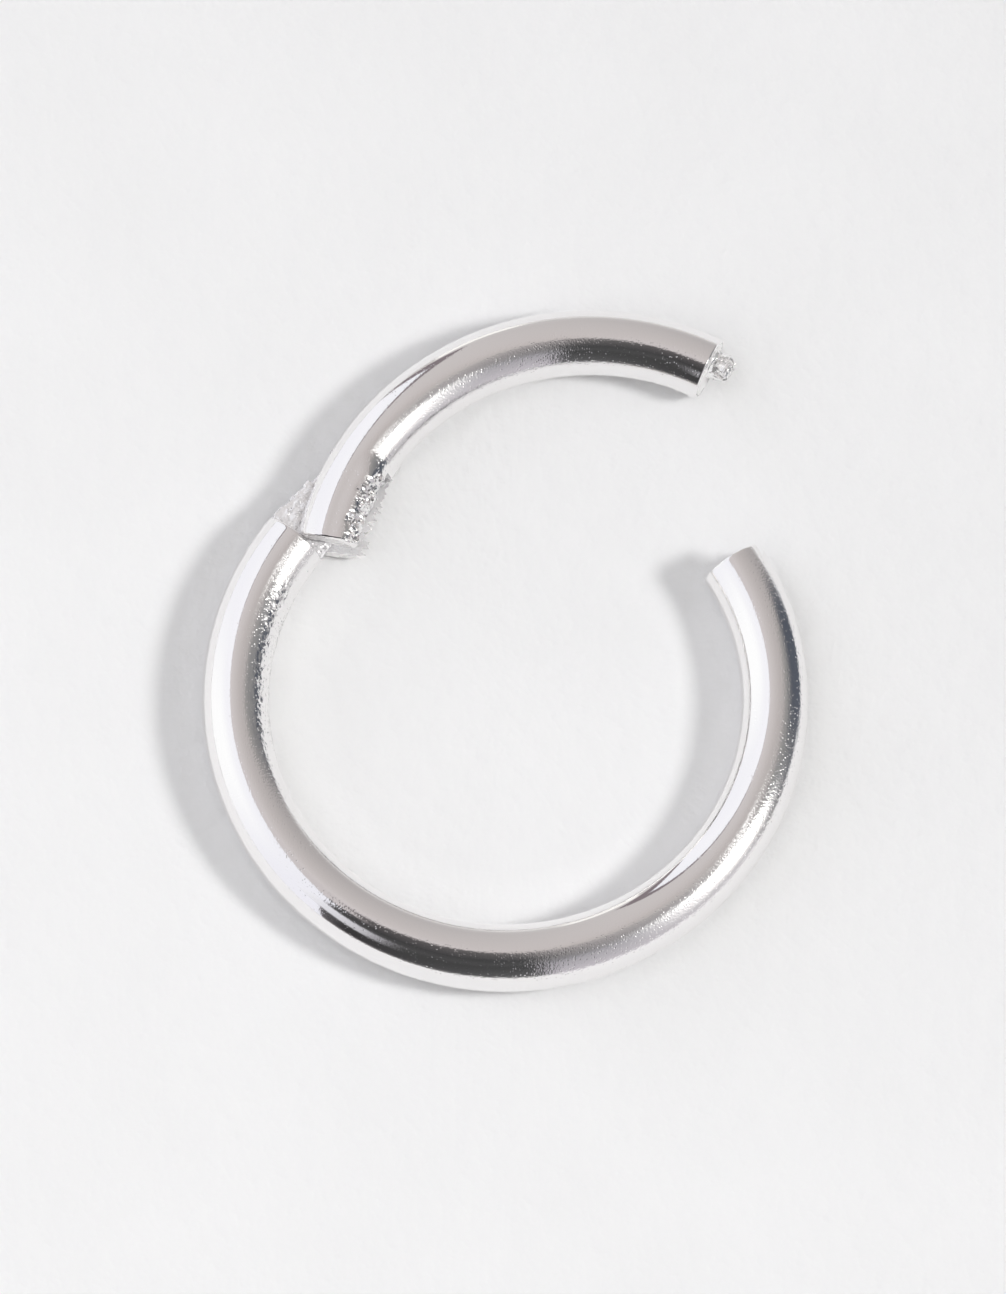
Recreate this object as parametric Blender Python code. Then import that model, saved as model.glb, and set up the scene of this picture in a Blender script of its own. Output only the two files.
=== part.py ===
"""Clicker ring: an open wire hoop closed by a short hinged segment, lying on its side.

The hoop's own frame has its centre on the Z axis and angles run anticlockwise
from +X. The whole thing is seated so that the middle of its footprint is at
the origin and the wire touches Z = 0. Lengths are written in millimetres.
"""

import math

import bmesh
import bpy
from mathutils import Matrix, Vector

MM = 0.001

# Wire and hoop
HOOP_WIRE = 1.20
CLEAR_DIAMETER = 8.40
SEGMENT_WIRE_STEP = 0.04

# Where the hoop is cut, in degrees round it
HINGE_END_AT = 141.8
CLASP_END_AT = 32.9

# Hinge
PIVOT_SETBACK = 1.21
HINGE_GAP = 0.20
HEEL_ROUND = 0.28
HEEL_SMALL_ROUND = 0.10
SWING_EASE = 0.04
TONGUE_THICKNESS = 0.44
TONGUE_SIDE_STEP = 0.05
TONGUE_ROOT = 0.50
SLOT_EASE = 0.03
SLOT_FLOOR_EASE = 0.08
PIN_DIAMETER = 0.40
PIN_RUNNING_EASE = 0.03
PIN_SEAT_EASE = 0.015
PIN_ROOF = 0.20
PIN_FOOT_RECESS = 0.06

# Clasp
CLASP_GAP = 0.15
STUD_DIAMETER = 0.64
STUD_REACH = 0.40
STUD_ROOT = 0.60
STUD_EDGE_ROUND = 0.14
STUD_SEAT_EASE = 0.015
CATCH_EASE = 0.05

# Finish of the cut ends
END_BREAK = 0.04

# Pose
OPEN_AT_REST = 29.5

# Smoothness
WIRE_SIDES = 32
STEP_ANGLE = 3.0
PIN_SIDES = 20
STUD_SIDES = 24
ROUND_STEPS = 6
BREAK_STEPS = 2
ROUND_PROFILE = 0.5
CUT_MARGIN = 0.5

# Sizes that follow
HOOP_RADIUS = (CLEAR_DIAMETER + HOOP_WIRE) / 2
SEGMENT_WIRE = HOOP_WIRE - SEGMENT_WIRE_STEP
WIRE_CENTRE_HEIGHT = HOOP_WIRE / 2


def arc_angle(length):
    """Degrees round the hoop that a length along the wire's centre takes."""
    return math.degrees(length / HOOP_RADIUS)


PIVOT_AT = HINGE_END_AT - arc_angle(PIVOT_SETBACK)
SEGMENT_HEEL_AT = HINGE_END_AT - arc_angle(HINGE_GAP)
SEGMENT_TIP_AT = CLASP_END_AT + arc_angle(CLASP_GAP)
SLOT_WIDTH = TONGUE_THICKNESS + 2 * SLOT_EASE
TONGUE_HALF_WIDTH = HOOP_WIRE / 2 - TONGUE_SIDE_STEP
SLOT_FLOOR = TONGUE_HALF_WIDTH + SLOT_FLOOR_EASE


def round_the_hoop(radius, degrees):
    """A point in the hoop's plane, at a radius and an angle."""
    angle = math.radians(degrees)
    return Vector((radius * math.cos(angle), radius * math.sin(angle), 0.0))


PIVOT = round_the_hoop(HOOP_RADIUS, PIVOT_AT)


def opened(point):
    """Where a point of the closed segment stands once it has swung open."""
    turn = Matrix.Rotation(math.radians(OPEN_AT_REST), 3, "Z")
    return PIVOT + turn @ (point - PIVOT)


def footprint_middle():
    """Middle of the plan view: the hoop below, the opened segment above."""
    outer = HOOP_RADIUS + HOOP_WIRE / 2
    crown = opened(Vector((0.0, 0.0, 0.0))).y + HOOP_RADIUS + SEGMENT_WIRE / 2
    return Vector((0.0, (crown - outer) / 2, 0.0))


HOOP_PLACE = Vector((0.0, 0.0, WIRE_CENTRE_HEIGHT)) - footprint_middle()


def clear_scene():
    for thing in list(bpy.data.objects):
        bpy.data.objects.remove(thing, do_unlink=True)


def silver(name, colour, roughness):
    material = bpy.data.materials.new(name)
    material.use_nodes = True
    shader = material.node_tree.nodes["Principled BSDF"]
    shader.inputs["Base Color"].default_value = (*colour, 1.0)
    shader.inputs["Metallic"].default_value = 1.0
    shader.inputs["Roughness"].default_value = roughness
    material.diffuse_color = (*colour, 1.0)
    return material


def finish_mesh(bm, name):
    """Scale the millimetre shape to metres and close it off as an object."""
    bmesh.ops.recalc_face_normals(bm, faces=bm.faces)
    bmesh.ops.scale(bm, vec=(MM, MM, MM), verts=bm.verts)
    mesh = bpy.data.meshes.new(name)
    bm.to_mesh(mesh)
    bm.free()
    piece = bpy.data.objects.new(name, mesh)
    bpy.context.scene.collection.objects.link(piece)
    return piece


def wire_profile(bm, radius, flats, centre_at):
    """The wire's section across the hoop, with one flat side facing down."""
    corner = flats / 2 / math.cos(math.pi / WIRE_SIDES)
    start = round_the_hoop(radius, centre_at)
    outward = start.normalized()
    ring = []
    for side in range(WIRE_SIDES):
        angle = 2 * math.pi * (side + 0.5) / WIRE_SIDES
        place = start + outward * (corner * math.cos(angle))
        place.z = corner * math.sin(angle)
        ring.append(bm.verts.new(place))
    edges = [bm.edges.new((ring[i - 1], ring[i])) for i in range(WIRE_SIDES)]
    return ring, edges


def bent_wire(flats, start_at, end_at):
    """A round wire bent along part of the hoop, its cut edges broken."""
    bm = bmesh.new()
    ring, edges = wire_profile(bm, HOOP_RADIUS, flats, start_at)
    span = end_at - start_at
    swept = bmesh.ops.spin(
        bm,
        geom=ring + edges,
        cent=(0.0, 0.0, 0.0),
        axis=(0.0, 0.0, 1.0),
        angle=math.radians(span),
        steps=math.ceil(span / STEP_ANGLE),
        use_duplicate=False,
    )
    last = [item for item in swept["geom_last"] if isinstance(item, bmesh.types.BMEdge)]
    bmesh.ops.holes_fill(bm, edges=edges + last, sides=WIRE_SIDES)
    bmesh.ops.recalc_face_normals(bm, faces=bm.faces)
    bmesh.ops.bevel(
        bm,
        geom=edges + last,
        offset=END_BREAK,
        segments=BREAK_STEPS,
        profile=ROUND_PROFILE,
        affect="EDGES",
    )
    return bm


def plate(outline, thickness):
    """A flat shape in the hoop's plane, as thick above the middle as below."""
    bm = bmesh.new()
    low = -thickness / 2
    corners = [bm.verts.new((point.x, point.y, low)) for point in outline]
    base = bm.faces.new(corners)
    raised = bmesh.ops.extrude_face_region(bm, geom=[base])
    top = [item for item in raised["geom"] if isinstance(item, bmesh.types.BMVert)]
    bmesh.ops.translate(bm, verts=top, vec=(0.0, 0.0, thickness))
    return bm


def round_bar(diameter, bottom, top, sides):
    """A round bar standing along Z."""
    bm = bmesh.new()
    bmesh.ops.create_cone(
        bm,
        cap_ends=True,
        segments=sides,
        radius1=diameter / 2,
        radius2=diameter / 2,
        depth=top - bottom,
        matrix=Matrix.Translation((0.0, 0.0, (top + bottom) / 2)),
    )
    return bm


def arc_points(centre, radius, start_at, end_at, steps):
    """Points along an arc in the hoop's plane, both ends included."""
    points = []
    for step in range(steps + 1):
        at = start_at + (end_at - start_at) * step / steps
        points.append(centre + round_the_hoop(radius, at))
    return points


def hide_cutter(cutter, owner):
    cutter.parent = owner
    cutter.hide_render = True
    cutter.display_type = "WIRE"


def combine(owner, cutter, operation):
    """Join a helper shape to a piece, or cut the piece with it."""
    hide_cutter(cutter, owner)
    step = owner.modifiers.new(operation.title() + " " + cutter.name, "BOOLEAN")
    step.operation = operation
    step.solver = "EXACT"
    step.object = cutter


def tongue_outline():
    """The hinge tongue from above: it keeps the wire's bend and has a round tip."""
    root_at = HINGE_END_AT + arc_angle(TONGUE_ROOT)
    bend_steps = math.ceil((root_at - PIVOT_AT) / STEP_ANGLE)
    half = TONGUE_HALF_WIDTH
    centre = Vector((0.0, 0.0, 0.0))
    outer = arc_points(centre, HOOP_RADIUS + half, root_at, PIVOT_AT, bend_steps)
    tip = arc_points(PIVOT, half, PIVOT_AT, PIVOT_AT - 180.0, 3 * ROUND_STEPS)
    inner = arc_points(centre, HOOP_RADIUS - half, PIVOT_AT, root_at, bend_steps)
    return outer + tip[1:-1] + inner


def along_wire(at, forward, outward):
    """A point given along and across the wire from the place at an angle."""
    out = round_the_hoop(1.0, at)
    ahead = Vector((out.y, -out.x, 0.0))
    return out * (HOOP_RADIUS + outward) + ahead * forward


def catch_outline():
    """The catch from above: deep enough for the stud, open end and outside.

    The closing stud comes in slantwise, half along the wire and half across
    it, so the roof over the catch slopes the same way.
    """
    depth = STUD_REACH - CLASP_GAP + 2 * CATCH_EASE
    half = STUD_DIAMETER / 2 + CATCH_EASE
    slope = math.radians((PIVOT_AT - CLASP_END_AT) / 2)
    climb = HOOP_WIRE + CUT_MARGIN
    back = climb * math.tan(slope)
    corners = [
        (-CUT_MARGIN, -half),
        (depth, -half),
        (depth, half),
        (depth - back, half + climb),
        (-CUT_MARGIN - back, half + climb),
    ]
    return [along_wire(CLASP_END_AT, ahead, out) for ahead, out in corners]


def make_ring_body():
    tube = bent_wire(HOOP_WIRE, HINGE_END_AT, CLASP_END_AT + 360.0)
    body = finish_mesh(tube, "ring_body")
    body.location = HOOP_PLACE * MM
    tongue = finish_mesh(plate(tongue_outline(), TONGUE_THICKNESS), "tongue_shape")
    combine(body, tongue, "UNION")
    bore_size = PIN_DIAMETER + 2 * PIN_RUNNING_EASE
    bore = finish_mesh(round_bar(bore_size, -HOOP_WIRE, HOOP_WIRE, PIN_SIDES), "pin_bore")
    bore.location = PIVOT * MM
    combine(body, bore, "DIFFERENCE")
    catch_height = STUD_DIAMETER + 2 * CATCH_EASE
    catch = finish_mesh(plate(catch_outline(), catch_height), "catch_cut")
    combine(body, catch, "DIFFERENCE")
    return body


def from_pivot(outline):
    return [point - PIVOT for point in outline]


def heel_rounding():
    """Radius on the heel's outer corner: as seen, or more if the swing needs it."""
    lead = math.radians(SEGMENT_HEEL_AT - PIVOT_AT)
    ahead = HOOP_RADIUS * math.sin(lead)
    across = HOOP_RADIUS * (1 - math.cos(lead)) + SEGMENT_WIRE / 2
    reach = HOOP_RADIUS * math.sin(math.radians(HINGE_END_AT - PIVOT_AT)) - SWING_EASE
    half_sum = ahead + across - reach
    rest = half_sum**2 - (ahead**2 + across**2 - reach**2)
    needed = half_sum - math.sqrt(max(rest, 0.0))
    return min(max(HEEL_ROUND, needed), SEGMENT_WIRE / 2)


def quarter_round(radius, side):
    """A rounded corner of the heel, from the wire's side to the flat end."""
    points = []
    edge = SEGMENT_WIRE / 2
    for step in range(ROUND_STEPS + 1):
        turn = math.pi / 2 * step / ROUND_STEPS
        ahead = radius - radius * math.sin(turn)
        across = edge - radius + radius * math.cos(turn)
        points.append((ahead, side * across))
    return points


def heel_waste_outline():
    """Everything past the heel, seen from above: what shaping it takes away."""
    wide = HOOP_WIRE
    back = 2 * CUT_MARGIN
    outer_round = heel_rounding()
    corners = [(-back, -wide), (HEEL_SMALL_ROUND, -wide)]
    corners += quarter_round(HEEL_SMALL_ROUND, -1.0)
    corners += reversed(quarter_round(outer_round, 1.0))
    corners += [(outer_round, wide), (-back, wide)]
    return [along_wire(SEGMENT_HEEL_AT, ahead, across) for ahead, across in corners]


def slot_outline():
    """The slot in the heel: straight through both sides, with a flat floor."""
    back = PIVOT_SETBACK + CUT_MARGIN
    wide = HOOP_WIRE
    corners = [(-back, -wide), (SLOT_FLOOR, -wide), (SLOT_FLOOR, wide), (-back, wide)]
    return [along_wire(PIVOT_AT, ahead, across) for ahead, across in corners]


def pin_ends():
    """Foot and head of the pin, measured from the wire's middle."""
    foot = -HOOP_WIRE / 2 + PIN_FOOT_RECESS
    head = SEGMENT_WIRE / 2 - PIN_ROOF
    return foot, head


def place_on_segment(piece):
    """Hang a piece of the moving side on the pivot and swing it open."""
    piece.location = (HOOP_PLACE + PIVOT) * MM
    piece.rotation_euler = (0.0, 0.0, math.radians(OPEN_AT_REST))


def stud_frame():
    """Matrix that lays a Z bar along the wire at the segment's tip."""
    out = round_the_hoop(1.0, SEGMENT_TIP_AT)
    ahead = Vector((out.y, -out.x, 0.0))
    turn = Vector((0.0, 0.0, 1.0)).rotation_difference(ahead).to_matrix().to_4x4()
    return Matrix.Translation(out * HOOP_RADIUS - PIVOT) @ turn


def make_swing_segment():
    rough_end = SEGMENT_HEEL_AT + arc_angle(CUT_MARGIN)
    tube = bent_wire(SEGMENT_WIRE, SEGMENT_TIP_AT, rough_end)
    bmesh.ops.translate(tube, verts=tube.verts, vec=-PIVOT)
    segment = finish_mesh(tube, "swing_segment")
    place_on_segment(segment)
    height = HOOP_WIRE + CUT_MARGIN
    waste = from_pivot(heel_waste_outline())
    slot = from_pivot(slot_outline())
    combine(segment, finish_mesh(plate(waste, height), "heel_end_cut"), "DIFFERENCE")
    combine(segment, finish_mesh(plate(slot, SLOT_WIDTH), "heel_slot_cut"), "DIFFERENCE")
    hole_size = PIN_DIAMETER + 2 * PIN_SEAT_EASE
    head = pin_ends()[1]
    hole = round_bar(hole_size, -HOOP_WIRE, head + PIN_SEAT_EASE, PIN_SIDES)
    combine(segment, finish_mesh(hole, "pin_seat_cut"), "DIFFERENCE")
    seat_size = STUD_DIAMETER + 2 * STUD_SEAT_EASE
    seat = round_bar(seat_size, -STUD_ROOT - STUD_SEAT_EASE, CUT_MARGIN, STUD_SIDES)
    bmesh.ops.transform(seat, matrix=stud_frame(), verts=seat.verts)
    combine(segment, finish_mesh(seat, "stud_seat_cut"), "DIFFERENCE")
    return segment


def make_hinge_pin():
    foot, head = pin_ends()
    pin = finish_mesh(round_bar(PIN_DIAMETER, foot, head, PIN_SIDES), "hinge_pin")
    place_on_segment(pin)
    return pin


def make_catch_stud():
    """A short post let into the segment's tip, its nose rounded over."""
    bm = round_bar(STUD_DIAMETER, -STUD_ROOT, STUD_REACH, STUD_SIDES)
    nose = [edge for edge in bm.edges if all(vert.co.z > 0.0 for vert in edge.verts)]
    bmesh.ops.bevel(
        bm,
        geom=nose,
        offset=STUD_EDGE_ROUND,
        segments=ROUND_STEPS,
        profile=ROUND_PROFILE,
        affect="EDGES",
    )
    bmesh.ops.transform(bm, matrix=stud_frame(), verts=bm.verts)
    stud = finish_mesh(bm, "catch_stud")
    place_on_segment(stud)
    return stud


def dress(piece, material):
    piece.data.materials.clear()
    piece.data.materials.append(material)
    piece.data.shade_smooth()
    piece.data.set_sharp_from_angle(angle=math.radians(30.0))


def build():
    clear_scene()
    dress(make_ring_body(), silver("polished_hoop_silver", (0.92, 0.91, 0.90), 0.10))
    dress(make_swing_segment(), silver("polished_segment_silver", (0.92, 0.91, 0.90), 0.12))
    dress(make_hinge_pin(), silver("pin_silver", (0.86, 0.85, 0.84), 0.25))
    dress(make_catch_stud(), silver("cut_stud_silver", (0.88, 0.87, 0.86), 0.40))


build()
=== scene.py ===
# %% [markdown]
# # A clicker ring in polished silver
#
# The object is a small piercing ring made of round wire. Most of the circle
# is one bent wire, the hoop. A shorter wire, the segment, swings on a hinge
# at the upper left and carries a short rough stud that clicks into the other
# end of the hoop. It lies on its side on pale paper, opened.
#
# Bright metal has hardly any colour of its own. What we see on it is the
# room, so this lesson has two halves: exact round surfaces, and a small
# studio of cards and lamps for them to mirror.

# %% Load the frame
import math

import bmesh
import bpy
import numpy as np
from mathutils import Matrix


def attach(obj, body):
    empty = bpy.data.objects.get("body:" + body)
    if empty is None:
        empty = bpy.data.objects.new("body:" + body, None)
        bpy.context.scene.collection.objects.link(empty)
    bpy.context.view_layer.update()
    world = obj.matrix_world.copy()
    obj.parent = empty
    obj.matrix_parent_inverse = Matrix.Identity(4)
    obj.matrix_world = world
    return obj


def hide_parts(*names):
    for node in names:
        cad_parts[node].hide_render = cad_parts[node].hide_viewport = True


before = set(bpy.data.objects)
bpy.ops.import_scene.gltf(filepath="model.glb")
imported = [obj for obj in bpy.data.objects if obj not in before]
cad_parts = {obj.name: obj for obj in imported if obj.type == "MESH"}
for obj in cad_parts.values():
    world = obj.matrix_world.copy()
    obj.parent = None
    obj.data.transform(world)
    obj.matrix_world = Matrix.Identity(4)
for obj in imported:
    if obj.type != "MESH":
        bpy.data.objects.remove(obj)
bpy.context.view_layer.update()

# %% [markdown]
# ## The sizes
#
# A jeweller works this ring from a few numbers: the wire's thickness, the
# radius it is bent to, and where round the circle it is cut. They are kept
# in millimetres, and the meshes are scaled to metres when they are made.
# Angles run anticlockwise round the hoop, starting at the right.

# %% Sizes in millimetres
MM = 0.001
BEND = 4.80
HOOP_THICK = 1.20
SEGMENT_THICK = 1.16
HINGE_END = 141.8
CLASP_END = 32.9
PIVOT_SETBACK = 1.21
HINGE_GAP = 0.20
CLASP_GAP = 0.15
OPENED = 29.5


def degrees_of(length):
    """Degrees round the bend for a length along it: length over radius."""
    return math.degrees(length / BEND)


def on_bend(degrees, radius=BEND):
    """Plan point at an angle round the hoop and a distance from its centre."""
    turn = math.radians(degrees)
    return np.array([radius * math.cos(turn), radius * math.sin(turn), 0.0])


PIVOT_AT = HINGE_END - degrees_of(PIVOT_SETBACK)
HEEL_AT = HINGE_END - degrees_of(HINGE_GAP)
TIP_AT = CLASP_END + degrees_of(CLASP_GAP)
PIVOT = on_bend(PIVOT_AT)
print("pivot at %.2f, heel at %.2f, tip at %.2f degrees" % (PIVOT_AT, HEEL_AT, TIP_AT))

# %% Where the hoop lies
SWING = math.radians(OPENED)
TURN = np.array(
    [
        [math.cos(SWING), -math.sin(SWING), 0.0],
        [math.sin(SWING), math.cos(SWING), 0.0],
        [0.0, 0.0, 1.0],
    ]
)


def swing_open(points):
    """Turn points of the closed segment about the hinge pin to the open pose."""
    return PIVOT + (points - PIVOT) @ TURN.T


CROWN = swing_open(np.zeros(3))[1] + BEND + SEGMENT_THICK / 2
HOOP_CENTRE = np.array([0.0, (BEND + HOOP_THICK / 2 - CROWN) / 2, HOOP_THICK / 2])

# %% [markdown]
# ## The camera
#
# The ring was looked at from high in front, 72 degrees up, with a long lens,
# so near and far sides are almost the same size. The camera is set from
# three directions: its right, its up, and the way back towards it.

# %% Camera
ELEVATION = math.radians(72.12)
ROLL = math.radians(-0.578)
AIM = np.array([-0.0450, 0.2452, 0.0])
DISTANCE = 640.5
plain_right = np.array([1.0, 0.0, 0.0])
plain_up = np.array([0.0, math.sin(ELEVATION), math.cos(ELEVATION)])
right = math.cos(ROLL) * plain_right - math.sin(ROLL) * plain_up
up = math.sin(ROLL) * plain_right + math.cos(ROLL) * plain_up
back = np.cross(right, up)
lens = bpy.data.cameras.new("camera")
lens.lens = 1000.0
lens.sensor_width = 36.0
lens.clip_start = 0.01
lens.clip_end = 20.0
camera = bpy.data.objects.new("camera", lens)
bpy.context.scene.collection.objects.link(camera)
place = Matrix(np.column_stack([right, up, back]).tolist()).to_4x4()
place.translation = (AIM + DISTANCE * back) * MM
camera.matrix_world = place
bpy.context.scene.camera = camera
print("camera at", [round(value, 4) for value in place.translation])

# %% [markdown]
# ## From a grid of points to a mesh
#
# Every new surface here is a grid: rows run along the piece and columns run
# round it. A shape is then one formula for all the points at once. The rows
# are joined by four-sided faces, the last column meets the first, and both
# ends are closed by a fan of triangles round one middle point.

# %% Grid helper
WELD = 0.0002 * MM


def volume_of(piece):
    """Signed volume in cubic millimetres: positive when faces point outwards."""
    bm = bmesh.new()
    bm.from_mesh(piece.data)
    amount = bm.calc_volume(signed=True) / MM**3
    bm.free()
    return amount


def grid_faces(rows, cols):
    """Corner numbers of the quads and of the two closing fans."""
    row = np.arange(rows - 1)[:, None] * cols
    col = np.arange(cols)[None, :]
    after = (col + 1) % cols
    quads = np.stack([row + col, row + after, row + cols + after, row + cols + col], -1)
    first = rows * cols
    ring = np.arange(cols)
    onward = (ring + 1) % cols
    last_row = (rows - 1) * cols
    head = np.stack([onward, ring, np.full(cols, first)], -1)
    tail = np.stack([last_row + ring, last_row + onward, np.full(cols, first + 1)], -1)
    return quads.reshape(-1, 4), head, tail


def corner_uvs(length_at, rows, cols):
    """A length along the rows and a share of the way round for each corner."""
    row = np.arange(rows - 1)[:, None] + np.zeros((1, cols), int)
    col = np.zeros((rows - 1, 1), int) + np.arange(cols)[None, :]
    rows_of = np.stack([row, row, row + 1, row + 1], -1)
    cols_of = np.stack([col, col + 1, col + 1, col], -1)
    quads = np.stack([length_at[rows_of], cols_of / cols], -1).reshape(-1, 2)
    share = np.arange(cols) / cols
    head = np.stack([share + 1 / cols, share, share], -1).reshape(-1)
    tail = np.stack([share, share + 1 / cols, share], -1).reshape(-1)
    heads = np.stack([np.full(3 * cols, length_at[0]), head], -1)
    tails = np.stack([np.full(3 * cols, length_at[-1]), tail], -1)
    return np.concatenate([quads, heads, tails])


def merge_meeting_points(mesh, kept):
    """Drop the fans' middle points and weld the points that coincide."""
    bm = bmesh.new()
    bm.from_mesh(mesh)
    bm.verts.ensure_lookup_table()
    bmesh.ops.delete(bm, geom=list(bm.verts)[kept:], context="VERTS")
    bmesh.ops.remove_doubles(bm, verts=bm.verts, dist=WELD)
    bmesh.ops.dissolve_degenerate(bm, dist=WELD / 4, edges=bm.edges)
    loose = [edge for edge in bm.edges if len(edge.link_faces) != 2]
    print(mesh.name, "welded,", len(loose), "open edges")
    bm.to_mesh(mesh)
    bm.free()


def closed_grid(name, points, length_at, finish, pinched=False, sandy=None):
    """A closed object from a (rows, cols, 3) array of millimetre points.

    Sandy says for every point how worn it is: 0 is polished, 1 is rubbed, and
    higher values are torn or filed. A pinched grid ends in rows that double
    back on themselves, so it is closed by merging the points that meet.
    """
    rows, cols = points.shape[:2]
    middles = np.stack([points[0].mean(axis=0), points[-1].mean(axis=0)])
    corners = np.concatenate([points.reshape(-1, 3), middles]) * MM
    quads, head, tail = grid_faces(rows, cols)
    mesh = bpy.data.meshes.new(name)
    mesh.from_pydata(corners.tolist(), [], quads.tolist() + head.tolist() + tail.tolist())
    flat = corner_uvs(np.asarray(length_at, float), rows, cols)
    layer = mesh.uv_layers.new(name="wire")
    layer.data.foreach_set("uv", flat.reshape(-1).astype(np.float32))
    amount = np.zeros(len(corners), np.float32)
    if sandy is not None:
        amount[: rows * cols] = np.broadcast_to(sandy, (rows, cols)).reshape(-1)
    mesh.materials.append(finish)
    sand = mesh.attributes.new("sandy", "FLOAT", "POINT")
    sand.data.foreach_set("value", amount)
    if pinched:
        merge_meeting_points(mesh, rows * cols)
    mesh.validate()
    piece = bpy.data.objects.new(name, mesh)
    bpy.context.scene.collection.objects.link(piece)
    if volume_of(piece) < 0.0:
        mesh.flip_normals()
    return piece


# %% [markdown]
# ## Small unevenness
#
# Drawn and tumbled wire is never perfect, and the filed places on this ring
# are quite rough. Two patterns are worked out on the grid. The first is
# soft: random heights on a lattice, eased between. The second is broken
# metal: each cell of a jittered lattice is a small flat chip with its own
# height and tilt. Both wrap round the wire, so no seam shows. Where such a
# pattern is laid on is said by ramps, which rise gently from 0 to 1.

# %% Unevenness helpers
LATTICE = 512


def soft_noise(x, y, around, seed):
    """Random lattice heights blended by 3t^2 - 2t^3, y repeating after around."""
    table = np.random.default_rng(seed).uniform(-1.0, 1.0, (LATTICE, around))
    col = np.floor(x).astype(int)
    row = np.floor(y).astype(int)
    ease_x = (x - col) ** 2 * (3 - 2 * (x - col))
    ease_y = (y - row) ** 2 * (3 - 2 * (y - row))
    near = table[col % LATTICE, row % around] * (1 - ease_x)
    near = near + table[(col + 1) % LATTICE, row % around] * ease_x
    far = table[col % LATTICE, (row + 1) % around] * (1 - ease_x)
    far = far + table[(col + 1) % LATTICE, (row + 1) % around] * ease_x
    return near * (1 - ease_y) + far * ease_y


def chips(x, y, around, seed):
    """Height of the nearest cell's tilted plane, for cells jittered off a lattice."""
    table = np.random.default_rng(seed).uniform(-1.0, 1.0, (LATTICE, around, 5))
    col = np.floor(x).astype(int)
    row = np.floor(y).astype(int)
    nearest = np.full(np.broadcast(x, y).shape, 9.0)
    height = np.zeros_like(nearest)
    for step_x in (-1, 0, 1):
        for step_y in (-1, 0, 1):
            cell = table[(col + step_x) % LATTICE, (row + step_y) % around]
            away_x = x - (col + step_x + 0.5 + 0.42 * cell[..., 0])
            away_y = y - (row + step_y + 0.5 + 0.42 * cell[..., 1])
            distance = away_x**2 + away_y**2
            plane = cell[..., 2] + 1.1 * (cell[..., 3] * away_x + cell[..., 4] * away_y)
            height = np.where(distance < nearest, plane, height)
            nearest = np.minimum(distance, nearest)
    return height


def ramp(value, start, end):
    """0 before start, 1 after end, eased between."""
    share = np.clip((value - start) / (end - start), 0.0, 1.0)
    return share**2 * (3 - 2 * share)


def band(value, start, full, fading, end):
    """A ramp up from start to full, times a ramp down from fading to end."""
    return ramp(value, start, full) * (1 - ramp(value, fading, end))


# %% [markdown]
# ## Finishes
#
# All the metal is the same bright silver. What changes from place to place
# is how smooth it is. A finish here is a Principled shader with three bumps
# laid over each other: hairline scratches that follow the wire, a fine sandy
# grain, and sparse little pits. Pits and grain read Object coordinates. The
# scratches read the UV map of the wire, which holds the length along it and
# the share of the way round. How worn a place is comes from the attribute
# that each grid carries, so rubbed, torn and polished metal run into each
# other. Filed and cut faces are made a little less metallic, because such
# fine facets scatter light much as white paint does.

# %% Shader helpers
def link_in(tree, kind, **inputs):
    """Add a node and set or link its inputs by name."""
    node = tree.nodes.new(kind)
    for name, value in inputs.items():
        socket = node.inputs[name.replace("_", " ")]
        if isinstance(value, bpy.types.NodeSocket):
            tree.links.new(value, socket)
        else:
            socket.default_value = value
    return node


def graph(tree, operation, first, second=0.0, third=0.0):
    """One arithmetic step."""
    node = tree.nodes.new("ShaderNodeMath")
    node.operation = operation
    for slot_at, value in enumerate((first, second, third)):
        if isinstance(value, bpy.types.NodeSocket):
            tree.links.new(value, node.inputs[slot_at])
        else:
            node.inputs[slot_at].default_value = value
    return node.outputs[0]


def spread(tree, value, start, end, low=0.0, high=1.0):
    """Map a value from one range to another, held at both ends."""
    node = link_in(tree, "ShaderNodeMapRange", Value=value)
    node.inputs["From Min"].default_value = start
    node.inputs["From Max"].default_value = end
    node.inputs["To Min"].default_value = low
    node.inputs["To Max"].default_value = high
    return node.outputs[0]


def vector_step(tree, operation, first, second=(0.0, 0.0, 0.0)):
    """One step with vectors."""
    node = link_in(tree, "ShaderNodeVectorMath", Vector=first)
    node.operation = operation
    node.inputs[1].default_value = second
    return node


def cloudy(tree, place, scale, detail):
    """Soft noise from 0 to 1; a bigger scale makes it finer."""
    noise = link_in(tree, "ShaderNodeTexNoise", Vector=place, Scale=scale, Detail=detail)
    return noise.outputs[0]


def bumps(tree, layers):
    """Bump nodes one over another, from pairs of a depth in millimetres and a height."""
    normal = None
    for depth, height in layers:
        bump = link_in(tree, "ShaderNodeBump", Height=height, Strength=1.0)
        bump.inputs["Distance"].default_value = abs(depth) * MM
        bump.invert = depth < 0
        if normal is not None:
            tree.links.new(normal, bump.inputs["Normal"])
        normal = bump.outputs["Normal"]
    return normal


# %% Silver
PATCHES = 900.0
PITS = 24000.0
GRAIN = 25000.0
HAIRS = (0.9, 190.0, 1.0)


def attribute_of(tree, name):
    """The number that a mesh attribute holds at this place."""
    node = tree.nodes.new("ShaderNodeAttribute")
    node.attribute_name = name
    return node.outputs["Fac"]


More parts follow.
